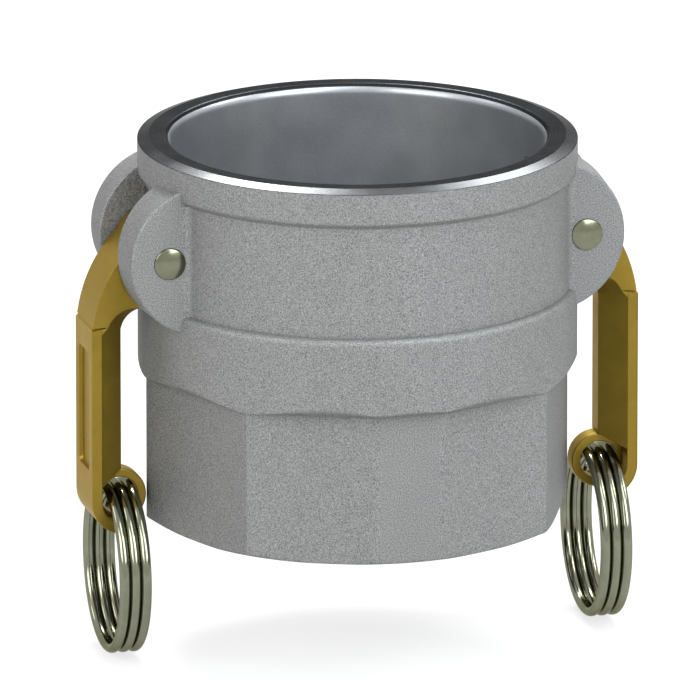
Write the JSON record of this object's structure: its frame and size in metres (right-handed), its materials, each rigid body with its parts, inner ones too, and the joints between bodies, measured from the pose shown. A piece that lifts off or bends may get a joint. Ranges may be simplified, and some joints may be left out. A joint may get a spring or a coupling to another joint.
{
  "type": "cam and groove coupling",
  "caption": "Cam and groove coupling socket with two pivoting cam levers, pull rings, a seal ring and a female pipe thread.",
  "frame": {"origin": "centre of the threaded end face, on the axis of the bore", "axes": "+Z along the bore to the socket mouth, +X to the right-hand lever, pins along Y"},
  "size_m": [0.1396, 0.1088, 0.1282],
  "materials": {
    "casting": "blasted casting, machined at the mouth",
    "seal": "matt black",
    "lever_brass": "smooth cast brass",
    "pin_steel": "ground stainless steel",
    "ring_wire": "bright drawn wire"
  },
  "bodies": {
    "coupler": {"body": "casting", "gasket": "seal", "pin_right": "pin_steel", "pin_left": "pin_steel"},
    "right_lever": {"lever_right": "lever_brass"},
    "left_lever": {"lever_left": "lever_brass"},
    "right_ring": {"ring_right": "ring_wire"},
    "left_ring": {"ring_left": "ring_wire"}
  },
  "joints": [
    {"name": "right_lever_hinge", "type": "hinge", "parent": "coupler", "child": "right_lever", "pos_m": [0.05307, 0, 0.07215], "axis": [0, -1, 0], "range_deg": [0, 110]},
    {"name": "left_lever_hinge", "type": "hinge", "parent": "coupler", "child": "left_lever", "pos_m": [-0.05307, 0, 0.07215], "axis": [0, 1, 0], "range_deg": [0, 110]},
    {"name": "right_ring_swing", "type": "hinge", "parent": "right_lever", "child": "right_ring", "pos_m": [0.0615, 0, 0.0085], "axis": [0, -1, 0], "range_deg": [-45, 150]},
    {"name": "left_ring_swing", "type": "hinge", "parent": "left_lever", "child": "left_ring", "pos_m": [-0.0615, 0, 0.0085], "axis": [0, 1, 0], "range_deg": [-45, 150]}
  ]
}
